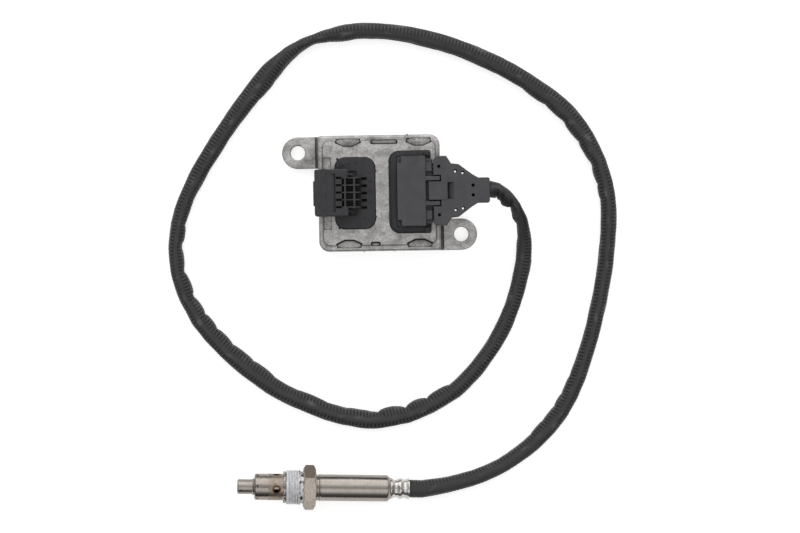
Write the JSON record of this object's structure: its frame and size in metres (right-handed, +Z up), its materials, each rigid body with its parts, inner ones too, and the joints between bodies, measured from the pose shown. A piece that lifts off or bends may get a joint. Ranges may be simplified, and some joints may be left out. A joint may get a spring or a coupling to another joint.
{
  "type": "nitrogen oxide sensor",
  "caption": "Exhaust nitrogen oxide sensor: a control unit in a cast housing with fixing ears and a vehicle socket, a sleeved cable, and a screw-in probe with a loose union screw.",
  "frame": {"origin": "middle of the control unit's underside, on the surface that everything lies on", "axes": "+X from the vehicle socket to the sensor cable's exit, +Z up out of the connectors' side"},
  "size_m": [0.2547, 0.2749, 0.0309],
  "materials": {
    "cast_aluminium": "die-cast, matt",
    "steel_sheet": "zinc-plated",
    "stainless": "drawn and turned",
    "steel_matt": "blasted, pasted thread",
    "black_plastic": "moulded polyamide",
    "charcoal_plastic": "moulded polyamide",
    "sealant": "cured silicone",
    "seal_rubber": "moulded",
    "board": "solder mask",
    "chip": "moulding compound",
    "tin": "tin plate",
    "ferrite": "sintered",
    "contact_metal": "tin plated",
    "zirconia": "fired ceramic",
    "steatite": "fired ceramic",
    "talc": "pressed powder",
    "wire_black": "wire insulation",
    "wire_red": "wire insulation",
    "sleeve_fabric": "ribbed wrap sleeve"
  },
  "bodies": {
    "sensor": {"upper_housing": "cast_aluminium", "base_plate": "steel_sheet", "base_gasket": "sealant", "circuit_board": "board", "processor_chip": "chip", "driver_chip": "chip", "crystal": "tin", "coil_inductor": "ferrite", "capacitor_1": "tin", "capacitor_2": "tin", "vehicle_header": "black_plastic", "vehicle_header_seal": "sealant", "vehicle_pin_1": "contact_metal", "vehicle_pin_2": "contact_metal", "vehicle_pin_3": "contact_metal", "vehicle_pin_4": "contact_metal", "vehicle_pin_5": "contact_metal", "sensor_header": "black_plastic", "sensor_header_seal": "sealant", "sensor_pin_1": "contact_metal", "sensor_pin_2": "contact_metal", "sensor_pin_3": "contact_metal", "sensor_pin_4": "contact_metal", "sensor_pin_5": "contact_metal", "sensor_pin_6": "contact_metal", "sensor_pin_7": "contact_metal", "sensor_pin_8": "contact_metal", "sensor_plug": "charcoal_plastic", "plug_seal": "seal_rubber", "wire_cover": "charcoal_plastic", "plug_lead_1": "wire_black", "plug_lead_2": "wire_black", "plug_lead_3": "wire_black", "plug_lead_4": "wire_black", "plug_lead_5": "wire_black", "plug_lead_6": "wire_black", "plug_lead_7": "wire_red", "plug_lead_8": "wire_black", "cable_sleeve": "sleeve_fabric", "tip_tube": "stainless", "outer_tube": "stainless", "probe_body": "stainless", "protective_sleeve": "stainless", "grommet": "seal_rubber", "ceramic_element": "zirconia", "front_insulator": "steatite", "talc_packing": "talc", "rear_insulator": "steatite", "contact_holder": "steatite", "probe_lead_1": "wire_black", "probe_lead_2": "wire_black", "probe_lead_3": "wire_black", "probe_lead_4": "wire_black", "probe_lead_5": "wire_black", "probe_lead_6": "wire_black", "probe_lead_7": "wire_black", "probe_lead_8": "wire_black"},
    "union_screw": {"union_screw": "steel_matt"}
  },
  "joints": [
    {"name": "union_screw_turn", "type": "hinge", "parent": "sensor", "child": "union_screw", "pos_m": [-0.04696, -0.16521, 0.01168], "axis": [0.9955, -0.0365, -0.0869], "continuous": true}
  ]
}
